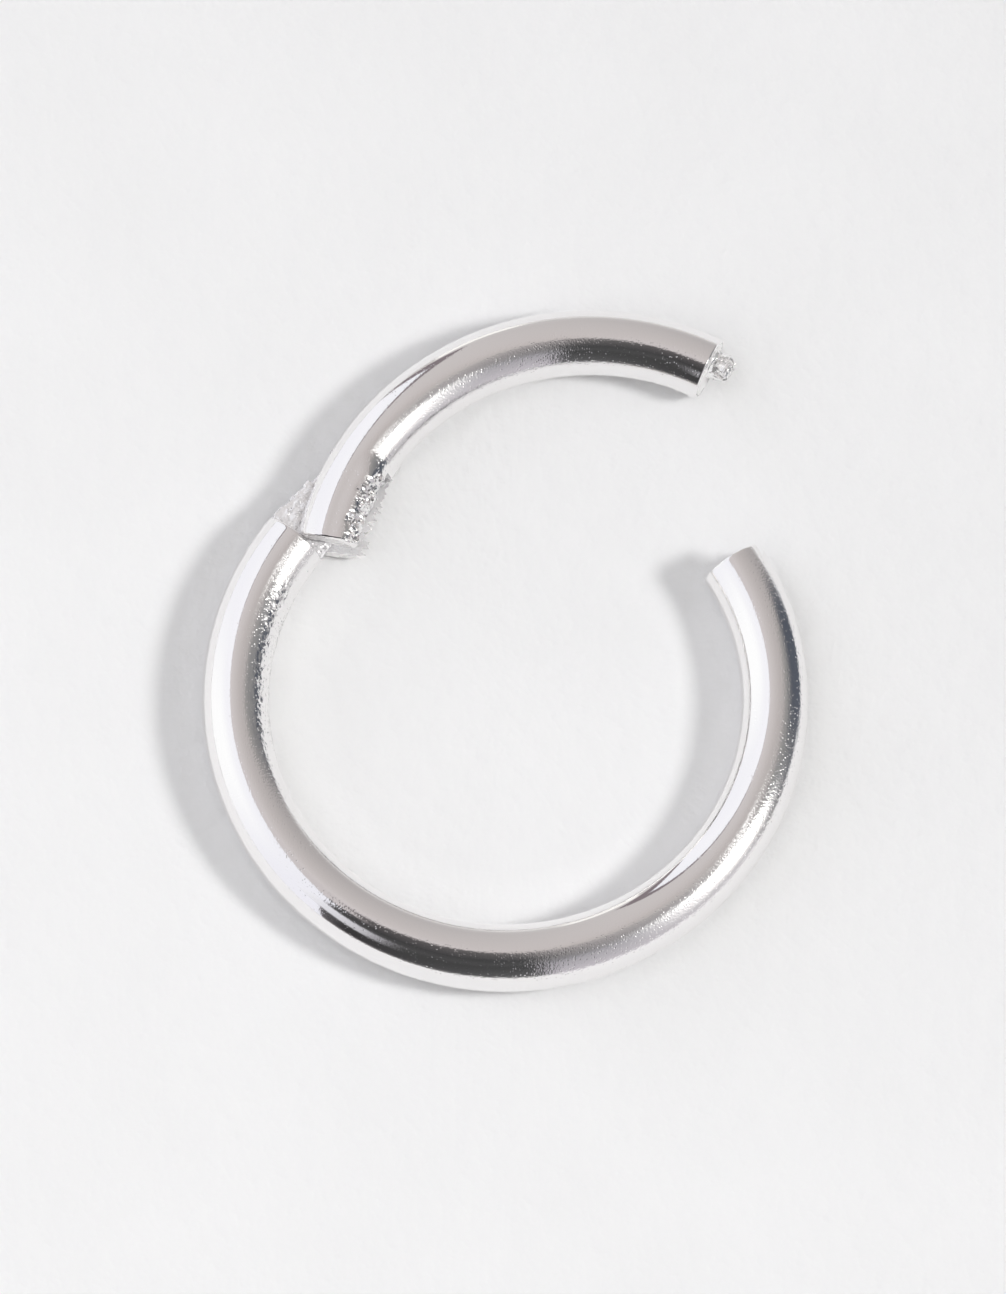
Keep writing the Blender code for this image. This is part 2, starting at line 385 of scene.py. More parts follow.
def pitted(tree, place, patches, sandy):
    """Round bowls in a few random cells, deeper in patches and where it is worn."""
    cells = link_in(tree, "ShaderNodeTexVoronoi", Vector=place, Scale=PITS)
    chosen = link_in(tree, "ShaderNodeSeparateColor", Color=cells.outputs["Color"])
    few = spread(tree, chosen.outputs[0], 0.55, 0.75)
    bowl = spread(tree, cells.outputs["Distance"], 0.05, 0.42, 1.0, 0.0)
    where = graph(tree, "ADD", spread(tree, patches, 0.40, 0.70, 0.0, 0.5), sandy)
    return graph(tree, "MULTIPLY", graph(tree, "MULTIPLY", few, bowl), where)


def silver(name, colour, metal, roughness, pits, sand, everywhere, scratches):
    """Bright metal; pits, sand and scratches are bump depths in millimetres.

    Everywhere is how sandy even the polished places are. Where the worn
    attribute nears 2, the metal turns duller and less metallic.
    """
    material = bpy.data.materials.new(name)
    material.use_nodes = True
    tree = material.node_tree
    shader = tree.nodes["Principled BSDF"]
    shader.inputs["Base Color"].default_value = (*colour, 1.0)
    place = tree.nodes.new("ShaderNodeTexCoord").outputs["Object"]
    wire = link_in(tree, "ShaderNodeUVMap")
    wire.uv_map = "wire"
    sandy = attribute_of(tree, "sandy")
    patches = cloudy(tree, place, PATCHES, 2.0)
    pit = pitted(tree, place, patches, sandy)
    grain = cloudy(tree, place, GRAIN, 2.0)
    rubbed = graph(tree, "MULTIPLY", grain, graph(tree, "ADD", sandy, everywhere))
    along = vector_step(tree, "MULTIPLY", wire.outputs[0], HAIRS).outputs[0]
    layers = ((scratches, cloudy(tree, along, 1.0, 3.0)), (sand, rubbed), (-pits, pit))
    tree.links.new(bumps(tree, layers), shader.inputs["Normal"])
    uneven = spread(tree, patches, 0.3, 0.7, roughness * 0.85, roughness * 1.2)
    softer = graph(tree, "MULTIPLY_ADD", sandy, 0.03, uneven)
    softer = graph(tree, "ADD", softer, spread(tree, sandy, 1.5, 2.0, 0.0, 0.25))
    softer = graph(tree, "MULTIPLY_ADD", pit, 0.05, softer)
    tree.links.new(softer, shader.inputs["Roughness"])
    metallic = spread(tree, sandy, 1.5, 2.0, metal, metal * 0.45)
    tree.links.new(metallic, shader.inputs["Metallic"])
    print(name, len(tree.nodes), "nodes")
    return material


BRIGHT = (0.94, 0.93, 0.925)
PALE_CUT = (0.96, 0.955, 0.95)
PALE_FILED = (0.92, 0.915, 0.92)
DRAWN = (0.90, 0.89, 0.88)
POLISHED = silver("polished silver", BRIGHT, 1.0, 0.055, 0.0030, 0.0028, 0.10, 0.0001)
SEGMENT_POLISH = silver(
    "polished segment silver", BRIGHT, 1.0, 0.055, 0.0032, 0.0030, 0.12, 0.0001
)
FILED = silver("filed silver", PALE_FILED, 0.6, 0.14, 0.0120, 0.0100, 1.0, 0.0004)
CUT = silver("cut silver", PALE_CUT, 0.75, 0.10, 0.0080, 0.0050, 1.0, 0.0004)
TURNED = silver("turned pin silver", DRAWN, 1.0, 0.22, 0.0030, 0.0010, 1.0, 0.0004)

# %% [markdown]
# ## The round wire
#
# A bent round wire is a circle carried along an arc. Each row of the grid
# has a place along the arc and a distance from the wire's middle. At an end
# the distance shrinks to nothing over the flat face, so cap, softened edge
# and side are one surface. One side of the ring, low and to the right, has
# been rubbed more than the rest, and a dot product with that direction says
# how much.

# %% Wire formula
def wire_points(along, reach, turns):
    """Circle carried round the bend.

    The distance from the hoop's centre is the bend radius plus reach times the
    cosine of the turn, and the height is reach times its sine. A turn of zero
    points away from the hoop's centre, and a quarter turn points up.
    """
    place = np.radians(along)
    out = BEND + reach * np.cos(turns)
    return np.stack([out * np.cos(place), out * np.sin(place), reach * np.sin(turns)], -1)


def end_rows(radius, edge, caps=10, rounds=6):
    """Steps from the middle of a flat end to the side: distance back, and reach."""
    cap = np.linspace(0.0, 1.0, caps + 1)[1:] * (radius - edge)
    bend = np.linspace(0.0, np.pi / 2, rounds + 1)[1:]
    reach = np.concatenate([cap, radius - edge + edge * np.sin(bend)])
    behind = np.concatenate([np.zeros(caps), edge - edge * np.cos(bend)])
    return behind, reach


WORN = (0.80, -0.42, 0.42)


def worn_side(along, turns, opened_by=0.0):
    """How far the surface's outward direction leans towards the worn direction."""
    place = np.radians(along + opened_by)
    facing = np.cos(turns) * (WORN[0] * np.cos(place) + WORN[1] * np.sin(place))
    return ramp(facing + WORN[2] * np.sin(turns), 0.15, 0.90)


COLUMNS = 128
AROUND = -np.pi / 2 + np.arange(COLUMNS) * 2 * np.pi / COLUMNS
SHARE = np.arange(COLUMNS) / COLUMNS

# %% [markdown]
# ## The hoop
#
# The hoop runs the long way round, from the hinge to the clasp. It could be
# a curve with a round bevel, but the grid lets the surface be a little
# uneven where the wire was worked. Inside the hinge end the polishing wheel
# could not reach, and the metal there is left sandy.

# %% Hoop wire
SOFT_EDGE = 0.035
HOOP_CHIP = 0.052


def hoop_points(radius, edge, rows):
    """The hoop's surface, with a faint waviness and a sandy patch by the hinge."""
    behind, reach = end_rows(radius, edge)
    start = HINGE_END + np.degrees(behind / BEND)
    end = CLASP_END + 360.0 - np.degrees(behind / BEND)
    middle = np.linspace(start[-1], end[-1], rows + 2)[1:-1]
    along = np.concatenate([start, middle, end[::-1]])[:, None]
    reach = np.concatenate([reach, np.full(rows, radius), reach[::-1]])[:, None]
    length = np.radians(along) * BEND
    side = ramp(reach, radius * 0.9, radius)
    wave = soft_noise(length / 1.3, SHARE * 5, 5, 3) * 0.0022
    sandy = band(along, 148.0, 157.0, 186.0, 204.0) * band(SHARE, 0.54, 0.64, 0.76, 0.88)
    grain = (chips(length / HOOP_CHIP, SHARE * 70, 70, 5) - 0.5) * 0.008
    reach = reach + side * (wave + sandy * grain)
    rubbed = np.maximum(worn_side(along, AROUND[None, :]), 1.4 * sandy)
    sand = np.maximum(rubbed, 1.5 * (1 - side))
    return wire_points(along, reach, AROUND[None, :]), length[:, 0], sand


hoop_shape, hoop_length, hoop_sand = hoop_points(HOOP_THICK / 2, SOFT_EDGE, 620)
hoop_shape = hoop_shape + HOOP_CENTRE
hoop = closed_grid("hoop_wire", hoop_shape, hoop_length, POLISHED, sandy=hoop_sand)
print("hoop", len(hoop.data.polygons), "faces,", round(volume_of(hoop), 3), "mm3")

# %% [markdown]
# ## The hinge tongue
#
# At the hinge the hoop is filed down to a flat tongue that follows the bend
# and ends in a half circle round the pin. Seen from above it is a bent bar
# with round ends, so its outline is a middle line plus a half width. Moving
# that outline inwards while the height changes gives the flats and the
# softened edges. It is left as filed, which is why it sparkles.

# %% Tongue
TONGUE_THICK = 0.44
TONGUE_HALF = 0.55
TONGUE_ROOT = 0.50
TONGUE_CHIPS = 60


def tongue_spine(steps, round_steps):
    """Middle line and outward direction for each point of a bent round-ended bar."""
    root = HINGE_END + degrees_of(TONGUE_ROOT)
    out_at = np.linspace(root, PIVOT_AT, steps)
    tip_at = np.linspace(PIVOT_AT, PIVOT_AT - 180.0, round_steps)[1:-1]
    in_at = out_at[::-1]
    root_at = np.linspace(root - 180.0, root - 360.0, round_steps)[1:-1]
    middle_at = np.concatenate(
        [out_at, np.full(tip_at.size, PIVOT_AT), in_at, np.full(root_at.size, root)]
    )
    facing = np.concatenate([out_at, tip_at, in_at + 180.0, root_at])
    middle = np.radians(middle_at)
    facing = np.radians(facing)
    spine = BEND * np.stack([np.cos(middle), np.sin(middle), 0 * middle], -1)
    away = np.stack([np.cos(facing), np.sin(facing), 0 * facing], -1)
    return spine, away


def tongue_points(edge=0.05):
    """Spine plus away times the half width left at each height."""
    spine, away = tongue_spine(90, 90)
    bend = np.linspace(0.0, np.pi / 2, 5)
    flat_width = np.linspace(0.0, TONGUE_HALF - edge, 16)
    edge_width = TONGUE_HALF - edge + edge * np.sin(bend[1:])
    top_width = np.concatenate([flat_width, edge_width])
    half = TONGUE_THICK / 2
    top_height = np.concatenate([np.full(16, half), half - edge + edge * np.cos(bend[1:])])
    wall = np.linspace(half - edge, edge - half, 12)[1:-1]
    width = np.concatenate([top_width, np.full(wall.size, TONGUE_HALF), top_width[::-1]])
    height = np.concatenate([top_height, wall, -top_height[::-1]])
    count = spine.shape[0]
    run = np.arange(count) / count * TONGUE_CHIPS
    across = width[:, None] * 11 + height[:, None] * 9 + 40
    rough = chips(across, run[None, :], TONGUE_CHIPS, 11)
    edgeward = ramp(width, TONGUE_HALF - 0.2, TONGUE_HALF)[:, None]
    filed_width = width[:, None] + 0.030 * edgeward * (rough - 0.3)
    points = spine[None] + away[None] * filed_width[..., None]
    lift = 0.011 * (rough - 0.2) * ramp(width, 0.0, 0.1)[:, None]
    points[..., 2] = height[:, None] + lift * np.sign(height)[:, None]
    return points, np.cumsum(np.full(width.size, 0.05))


tongue_shape, tongue_length = tongue_points()
tongue_shape = tongue_shape + HOOP_CENTRE
tongue = closed_grid("tongue_shape", tongue_shape, tongue_length, FILED, pinched=True)
print("tongue", round(volume_of(tongue), 3), "mm3")

# %% [markdown]
# ## Joining and cutting
#
# The tongue and the wire are one piece of metal, so they are joined with a
# Boolean, and the pin's bore and the stud's catch are cut with two more. The
# result is taken from the evaluated object, which leaves a plain mesh with
# no live modifier and no helper shape behind. Each helper shape brings its
# own filed finish, so the walls that it cuts look filed.

# %% Boolean helper
def shape_with(piece, helper, operation):
    """Join or cut, keep the helper's finish on the new faces, drop the helper."""
    step = piece.modifiers.new(helper.name, "BOOLEAN")
    step.operation = operation
    step.solver = "EXACT"
    step.material_mode = "TRANSFER"
    step.object = helper
    depsgraph = bpy.context.evaluated_depsgraph_get()
    shaped = bpy.data.meshes.new_from_object(piece.evaluated_get(depsgraph))
    shaped.name = piece.name
    piece.modifiers.clear()
    piece.data = shaped
    bpy.data.objects.remove(helper, do_unlink=True)
    return piece


def prism_points(outline, low, high):
    """Outline rings from the middle of the bottom out, up, and in to the top."""
    middle = outline.mean(axis=0)
    shares = np.array([0.02, 1.0, 1.0, 0.02])[:, None, None]
    rings = middle + (outline - middle)[None] * shares
    rings[:, :, 2] = np.array([low, low, high, high])[:, None]
    return rings


def cutter(name, shape):
    """A closed filed helper from the four rings of a prism."""
    return closed_grid(name, shape + HOOP_CENTRE, [0, 1, 2, 3], FILED)


def round_outline(centre, radius, sides):
    """A circle: centre plus radius times cosine and sine."""
    turn = np.arange(sides) * 2 * np.pi / sides
    ring = radius * np.stack([np.cos(turn), np.sin(turn), 0 * turn], -1)
    return centre + ring


def filled_outline(corners, per_side=4):
    """Straight runs between corner points, with points spread along each."""
    corners = np.asarray(corners, float)
    onward = np.roll(corners, -1, axis=0)
    share = (np.arange(per_side) / per_side)[None, :, None]
    return (corners[:, None] * (1 - share) + onward[:, None] * share).reshape(-1, 3)


def along_wire(at, ahead, outward):
    """Plan point given along and across the wire at an angle round the hoop."""
    out = on_bend(at, 1.0)
    forward = np.array([out[1], -out[0], 0.0])
    return out * (BEND + outward) + forward * ahead


# %% Hinge end and clasp end of the hoop
BORE = 0.46
BORE_SIDES = 48
CATCH_HALF = 0.37
CATCH_DEEP = 0.35
CUT_PAST = 0.5
shape_with(hoop, tongue, "UNION")
print("hoop with its tongue", round(volume_of(hoop), 3), "mm3")
bore_shape = prism_points(round_outline(PIVOT, BORE / 2, BORE_SIDES), -1.0, 1.0)
shape_with(hoop, cutter("bore_cut", bore_shape), "DIFFERENCE")
slope = math.radians((PIVOT_AT - CLASP_END) / 2)
climb = HOOP_THICK + CUT_PAST
lean = climb * math.tan(slope)
catch_corners = [
    (-CUT_PAST, -CATCH_HALF),
    (-CUT_PAST - lean, CATCH_HALF + climb),
    (CATCH_DEEP - lean, CATCH_HALF + climb),
    (CATCH_DEEP, CATCH_HALF),
    (CATCH_DEEP, -CATCH_HALF),
]
catch_plan = filled_outline([along_wire(CLASP_END, *corner) for corner in catch_corners])
catch_shape = prism_points(catch_plan, -CATCH_HALF, CATCH_HALF)
shape_with(hoop, cutter("catch_cut", catch_shape), "DIFFERENCE")
print("hoop after cutting", len(hoop.data.polygons), "faces", round(volume_of(hoop), 3), "mm3")

# %% [markdown]
# ## The swinging segment
#
# The segment is the same wire, a touch thinner. Its heel is filed round so
# that it clears the hoop's end as it swings. Each point of the wire is
# pulled back along the bend by as much as the heel's outline asks at that
# distance across, which gives the rounded heel without any cutting. The
# slot for the tongue is cut out afterwards.
#
# On the inside of the ring the heel was left torn. Three things make it:
# a low swelling along its upper border, broken chips over the torn metal,
# and a ragged lip that stands out below.

# %% Segment wire
HEEL_ROUND = 0.28
HEEL_SMALL_ROUND = 0.10
END_CHIP = 0.09
TORN_CHIP = 0.065
SEGMENT_MIDDLE = 90.0


def heel_back(across):
    """How far the heel stands back: two quarter rounds, one on each side."""
    half = SEGMENT_THICK / 2
    outer = np.clip(across - (half - HEEL_ROUND), 0.0, HEEL_ROUND)
    inner = np.clip(-across - (half - HEEL_SMALL_ROUND), 0.0, HEEL_SMALL_ROUND)
    far = HEEL_ROUND - np.sqrt(np.maximum(HEEL_ROUND**2 - outer**2, 0.0))
    near = HEEL_SMALL_ROUND - np.sqrt(np.maximum(HEEL_SMALL_ROUND**2 - inner**2, 0.0))
    return far + near


def broken_end(reach, turns):
    """Chips over a flat end, on a square lattice laid across the wire."""
    across = reach * np.cos(turns) / END_CHIP + 20.0
    rise = reach * np.sin(turns) / END_CHIP + 20.0
    return chips(across, rise, 40, 31) * (1 - ramp(reach, 0.50, 0.56))


def torn_heel(along, length):
    """Shares of swelling, tearing and lip, by place along and round the wire."""
    wander = 2.4 * soft_noise(length / 0.22, SHARE * 12, 12, 27)
    swell = ramp(along, 117.0, 123.0) * band(SHARE, 0.50, 0.60, 0.64, 0.72)
    torn = ramp(along + wander, 119.5, 123.5)
    torn = torn * ramp(SHARE + 0.012 * wander, 0.56, 0.61) * (1 - ramp(SHARE, 0.86, 0.95))
    lip = ramp(along + wander, 112.0, 127.0) * band(SHARE, 0.70, 0.79, 0.80, 0.92)
    return swell, torn, lip


def segment_points(radius, edge, rows):
    """The closed segment, from the clasp tip to the heel."""
    behind, reach = end_rows(radius, edge)
    turns = AROUND[None, :]
    tip = TIP_AT + np.degrees(behind / BEND)[:, None] + 0 * turns
    across = reach[:, None] * np.cos(turns)
    heel = HEEL_AT - np.degrees((behind[:, None] + heel_back(across)) / BEND)
    share = np.linspace(0.0, 1.0, rows + 2)[1:-1, None]
    middle = tip[-1:] + share * (heel[-1:] - tip[-1:])
    along = np.concatenate([tip, middle, heel[::-1]])
    reach = np.concatenate([reach, np.full(rows, radius), reach[::-1]])[:, None]
    length = np.radians(along) * BEND
    side = ramp(reach, radius * 0.9, radius)
    wave = soft_noise(length / 1.1, SHARE * 5, 5, 23) * 0.0020
    swell, torn, lip = torn_heel(along, length)
    broken = chips(length / TORN_CHIP, SHARE * 56, 56, 29) - 0.6
    reach = reach + side * (wave + 0.085 * swell + 0.030 * torn * broken)
    reach = reach + side * lip * (0.14 + 0.035 * broken)
    ends = 1 - side
    outwards = np.sign(along - SEGMENT_MIDDLE)
    along = along + ends * outwards * 0.12 * broken_end(reach, turns)
    sand = np.maximum(worn_side(along, turns, OPENED), np.maximum(1.4 * torn, 2.0 * ends))
    sand = np.maximum(sand, 2.2 * ramp(lip, 0.05, 0.35))
    return wire_points(along, reach, turns), length.mean(axis=1), sand


segment_shape, segment_length, sand = segment_points(SEGMENT_THICK / 2, SOFT_EDGE, 430)
segment_shape = swing_open(segment_shape) + HOOP_CENTRE
segment = closed_grid("segment_wire", segment_shape, segment_length, SEGMENT_POLISH, sandy=sand)
print("segment", len(segment.data.polygons), "faces,", round(volume_of(segment), 3), "mm3")

# %% Slot and pin seat
SLOT = 0.50
SLOT_FLOOR = 0.63
PIN_THICK = 0.40
PIN_FOOT = -0.54
PIN_HEAD = 0.38
SEAT_GAP = 0.015
SEAT_FOOT = -1.2
slot_corners = [(-1.8, -1.2), (-1.8, 1.2), (SLOT_FLOOR, 1.2), (SLOT_FLOOR, -1.2)]
slot_plan = filled_outline([along_wire(PIVOT_AT, *corner) for corner in slot_corners], 8)
slot = cutter("slot_cut", swing_open(prism_points(slot_plan, -SLOT / 2, SLOT / 2)))
print("slot", round(volume_of(slot), 3), "mm3")
shape_with(segment, slot, "DIFFERENCE")
seat_plan = round_outline(PIVOT, PIN_THICK / 2 + SEAT_GAP, BORE_SIDES)
seat = cutter("pin_seat", prism_points(seat_plan, SEAT_FOOT, PIN_HEAD + SEAT_GAP))
shape_with(segment, seat, "DIFFERENCE")
print("segment after cutting", len(segment.data.polygons), round(volume_of(segment), 3), "mm3")

# %% [markdown]
# ## The pin and the stud
#
# Both are turned round an axis: a profile of reach against height, carried
# round a circle. The pin is plain. The stud was snapped and dabbed rather
# than turned clean, so its nose gets the broken pattern on top.

# %% Pin
def turned_points(heights, reaches, cols):
    """Reach times cosine and sine of the turn, at each height."""
    turn = np.arange(cols) * 2 * np.pi / cols
    reach = np.asarray(reaches, float)[:, None]
    height = np.asarray(heights, float)[:, None] + 0 * turn
    return np.stack([reach * np.cos(turn), reach * np.sin(turn), height], -1)


pin_back, pin_reach = end_rows(PIN_THICK / 2, 0.025, 5, 4)
pin_side = np.linspace(PIN_FOOT + 0.1, PIN_HEAD - 0.1, 8)
pin_heights = np.concatenate([PIN_FOOT + pin_back, pin_side, (PIN_HEAD - pin_back)[::-1]])
pin_reaches = np.concatenate([pin_reach, np.full(8, PIN_THICK / 2), pin_reach[::-1]])
pin_shape = turned_points(pin_heights, pin_reaches, BORE_SIDES) + PIVOT + HOOP_CENTRE
pin = closed_grid("hinge_pin_turned", pin_shape, pin_heights, TURNED)
print("pin", round(volume_of(pin), 3), "mm3")

# %% Stud
STUD_THICK = 0.56
STUD_OUTWARD = 0.13
STUD_REACH = 0.40
STUD_ROOT = 0.60


def stud_points():
    """A round bar along the wire's end, its nose rounded and broken."""
    behind, reach = end_rows(STUD_THICK / 2, 0.15, 16, 14)
    foot, foot_reach = end_rows(STUD_THICK / 2, 0.03, 4, 4)
    wall = np.linspace(0.04 - STUD_ROOT, STUD_REACH - 0.16, 40)
    ahead = np.concatenate([foot - STUD_ROOT, wall, (STUD_REACH - behind)[::-1]])
    reach = np.concatenate([foot_reach, np.full(wall.size, STUD_THICK / 2), reach[::-1]])
    turn = np.arange(COLUMNS) * 2 * np.pi / COLUMNS
    run = np.concatenate([[0.0], np.cumsum(np.hypot(np.diff(ahead), np.diff(reach)))])
    shown = ramp(ahead, 0.0, 0.06)[:, None]
    broken = chips(run[:, None] / 0.15, turn[None, :] / (2 * np.pi) * 12, 12, 41)
    fine = soft_noise(run[:, None] / 0.05, turn[None, :] / (2 * np.pi) * 36, 36, 43)
    bump = shown * (0.040 * broken + 0.006 * fine - 0.05)
    reach = reach[:, None]
    flat = ramp(reach[:, 0], STUD_THICK / 2 * 0.9, STUD_THICK / 2 * 0.5)[:, None]
    wide = reach + (1 - flat) * bump * ramp(reach, 0.0, 0.1)
    out = on_bend(TIP_AT, 1.0)
    forward = np.array([out[1], -out[0], 0.0])
    push = ahead[:, None] + flat * bump
    base = out * (BEND + STUD_OUTWARD) + forward * push[..., None]
    side = out * (wide * np.cos(turn))[..., None]
    rise = np.array([0.0, 0.0, 1.0]) * (wide * np.sin(turn))[..., None]
    return base + side + rise, run


stud_shape, stud_run = stud_points()
stud = closed_grid("stud_nub", swing_open(stud_shape) + HOOP_CENTRE, stud_run, CUT)
print("stud", round(volume_of(stud), 3), "mm3")

# %% [markdown]
# ## What carries what
#
# The hoop is one body. The segment, its pin and its stud swing together, so
# they ride on the other. Each new surface stands in for the plain part of
# the frame that has its shape.

# %% Ride and replace
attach(hoop, "hoop")
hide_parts("ring_body")
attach(segment, "segment")
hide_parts("swing_segment")
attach(pin, "segment")
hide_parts("hinge_pin")
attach(stud, "segment")
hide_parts("catch_stud")

# %% [markdown]
# ## Paper
#
# The ring lies on white watercolour paper. It is one wide matt sheet with a
# soft, shallow grain: two noises of different size drive a bump, and a very
# faint third one changes the tone. Painted shade makes the tone fall gently
# from the near left to the far right, where the light is weaker. Inside the
# ring, close to the wire, painted light makes the paper a little brighter,
# standing in for the light that polished metal throws back on it. The sheet
# is much wider than the view, so the metal mirrors it out to the horizon.

# %% Paper floor
PAPER_TONE = (0.845, 0.865)
# The direction in which painted shade darkens the paper's tone, where the light is weaker.
PAINTED_LIGHT_FALL = (-2.0, -1.7, 0.0)
# How much painted light brightens the paper near the wire inside the ring.
PAINTED_BOUNCE = 0.075


def painted_bounce_inside(tree, place):
    """Painted light: extra tone by distance from the hoop's centre, gone at the far side."""
    centre = (0.0, HOOP_CENTRE[1] * MM, 0.0)
    offset = vector_step(tree, "SUBTRACT", place, centre).outputs[0]
    reach = vector_step(tree, "LENGTH", offset).outputs["Value"]
    up_to_wire = spread(tree, reach, 3.0 * MM, 4.2 * MM, 0.0, PAINTED_BOUNCE)
    past_wire = spread(tree, reach, 4.6 * MM, 5.0 * MM, 1.0, 0.0)
    height = link_in(tree, "ShaderNodeSeparateXYZ", Vector=offset).outputs["Y"]
    far_side = spread(tree, height, 1.5 * MM, 3.0 * MM, 1.0, 0.0)
    inside = graph(tree, "MULTIPLY", up_to_wire, past_wire)
    return graph(tree, "MULTIPLY", inside, far_side)


def paper_finish():
    """Matt white with an uneven tone and surface; its colour also holds painted shade and
    painted light.
    """
    material = bpy.data.materials.new("white paper")
    material.use_nodes = True
    tree = material.node_tree
    shader = tree.nodes["Principled BSDF"]
    shader.inputs["Roughness"].default_value = 0.9
    shader.inputs["Specular IOR Level"].default_value = 0.2
    place = tree.nodes.new("ShaderNodeTexCoord").outputs["Object"]
    shade = spread(tree, cloudy(tree, place, 260.0, 2.0), 0.3, 0.7, *PAPER_TONE)
    # Painted shade: the tone falls towards the far right, standing in for weaker light there.
    painted_fall = vector_step(tree, "DOT_PRODUCT", place, PAINTED_LIGHT_FALL).outputs["Value"]
    shade = graph(tree, "ADD", shade, spread(tree, painted_fall, -0.03, 0.03, -0.03, 0.03))
    # Painted light: brighter tone near the wire inside the ring, for light the metal throws
    # back.
    shade = graph(tree, "ADD", shade, painted_bounce_inside(tree, place))
    mix = link_in(tree, "ShaderNodeCombineColor")
    for channel in ("Red", "Green", "Blue"):
        tree.links.new(shade, mix.inputs[channel])
    tree.links.new(mix.outputs[0], shader.inputs["Base Color"])
    broad = cloudy(tree, place, 2300.0, 3.0)
    fibre = cloudy(tree, place, 9000.0, 4.0)
    normal = bumps(tree, ((0.055, broad), (0.011, fibre)))
    tree.links.new(normal, shader.inputs["Normal"])
    return material


def blended(corners, across, rise):
    """Four corner values mixed by the shares across and up."""
    left, low = 1 - across, 1 - rise
    pairs = zip((left * low, across * low, across * rise, left * rise), corners)
    return sum(weight[..., None] * np.asarray(corner) for weight, corner in pairs)


def corner_points(mesh):
    """The number of the point at every face corner."""
    order = np.empty(len(mesh.loops), int)
    mesh.loops.foreach_get("vertex_index", order)
    return order


def corner_shares(mesh):
    """Shares across and up at every face corner, read from the UV map."""
    flat = np.empty(len(mesh.loops) * 2, np.float32)
    mesh.uv_layers["UVMap"].data.foreach_get("uv", flat)
    return flat.reshape(-1, 2)


def flat_sheet(name, corners, finish, steps=2):
    """Four corners, lower left first and anticlockwise, blended into a grid."""
    share = np.linspace(0.0, 1.0, steps + 1)
    across, rise = np.meshgrid(share, share)
    points = blended(np.asarray(corners, float), across, rise)
    row = np.arange(steps)[:, None] * (steps + 1)
    col = np.arange(steps)[None, :]
    step = steps + 1
    quads = np.stack([row + col, row + col + 1, row + step + col + 1, row + step + col], -1)
    mesh = bpy.data.meshes.new(name)
    mesh.from_pydata((points.reshape(-1, 3) * MM).tolist(), [], quads.reshape(-1, 4).tolist())
    layer = mesh.uv_layers.new(name="UVMap")
    flat = np.stack([across.reshape(-1), rise.reshape(-1)], -1)[corner_points(mesh)]
    layer.data.foreach_set("uv", flat.reshape(-1).astype(np.float32))
    mesh.materials.append(finish)
    sheet = bpy.data.objects.new(name, mesh)
    bpy.context.scene.collection.objects.link(sheet)
    return sheet


WIDE = 2500.0
paper_corners = [(-WIDE, -WIDE, 0.0), (WIDE, -WIDE, 0.0), (WIDE, WIDE, 0.0), (-WIDE, WIDE, 0.0)]
paper = flat_sheet("paper", paper_corners, paper_finish())

# %% [markdown]
# ## The studio
#
# Each band on the metal is one thing in the room. A big soft box stands on
# the left, a black card in front with a straight right edge, a pale lavender
# card beside it, a blue grey one on the right and a warm grey ceiling over
# all. The cards glow by themselves, so their tone is exact. The camera does
# not see them, and they cast no shadow.
#
# A card's tones are given as they show on the metal, from 0 to 255 for its
# lower left, lower right, upper right and upper left corner. A card fades
# out at each side over the share of its width that soft says. A sky card is
# a patch of a dome: azimuth is counted round from the right, zenith down
# from straight overhead.

# %% Cards
def glow_finish():
    """Light in the card's own painted tone, thinned to nothing where it fades."""
    material = bpy.data.materials.new("glowing card")
    material.use_nodes = True
    tree = material.node_tree
    tree.nodes.clear()
    paint = tree.nodes.new("ShaderNodeAttribute")
    paint.attribute_name = "tone"
    emit = link_in(tree, "ShaderNodeEmission", Color=paint.outputs["Color"], Strength=1.0)
    clear = tree.nodes.new("ShaderNodeBsdfTransparent")
    blend = tree.nodes.new("ShaderNodeMixShader")
    tree.links.new(paint.outputs["Alpha"], blend.inputs[0])
    tree.links.new(clear.outputs[0], blend.inputs[1])
    tree.links.new(emit.outputs[0], blend.inputs[2])
    output = tree.nodes.new("ShaderNodeOutputMaterial")
    tree.links.new(blend.outputs[0], output.inputs["Surface"])
    return material


GLOW = glow_finish()


def mirrored(tones):
    """Light that bright silver shows as these screen tones: undo screen and metal."""
    return (np.asarray(tones, float) / 255.0) ** 2.2 / np.array(BRIGHT)


def paint_card(sheet, tones, soft, lights_paper):
    """Corner tones mixed over the card; soft gives the fading width at each side."""
    across, rise = corner_shares(sheet.data).astype(float).T
    colour = blended([mirrored(tone) for tone in tones], across, rise)
    alpha = np.ones(across.size)
    for share, width in zip((across, 1 - across, rise, 1 - rise), soft):
        if width > 0.0:
            alpha = alpha * ramp(share, 0.0, width)
    layer = sheet.data.color_attributes.new("tone", "FLOAT_COLOR", "CORNER")
    values = np.concatenate([colour, alpha[:, None]], -1).astype(np.float32)
    layer.data.foreach_set("color", values.reshape(-1))
    sheet.visible_camera = False
    sheet.visible_shadow = False
    sheet.visible_diffuse = lights_paper
    return sheet


def card(name, corners, tones, soft=(0, 0, 0, 0), lights_paper=True):
    """A flat card by its corners: lower left, lower right, upper right, upper left."""
    return paint_card(flat_sheet(name, corners, GLOW, 24), tones, soft, lights_paper)


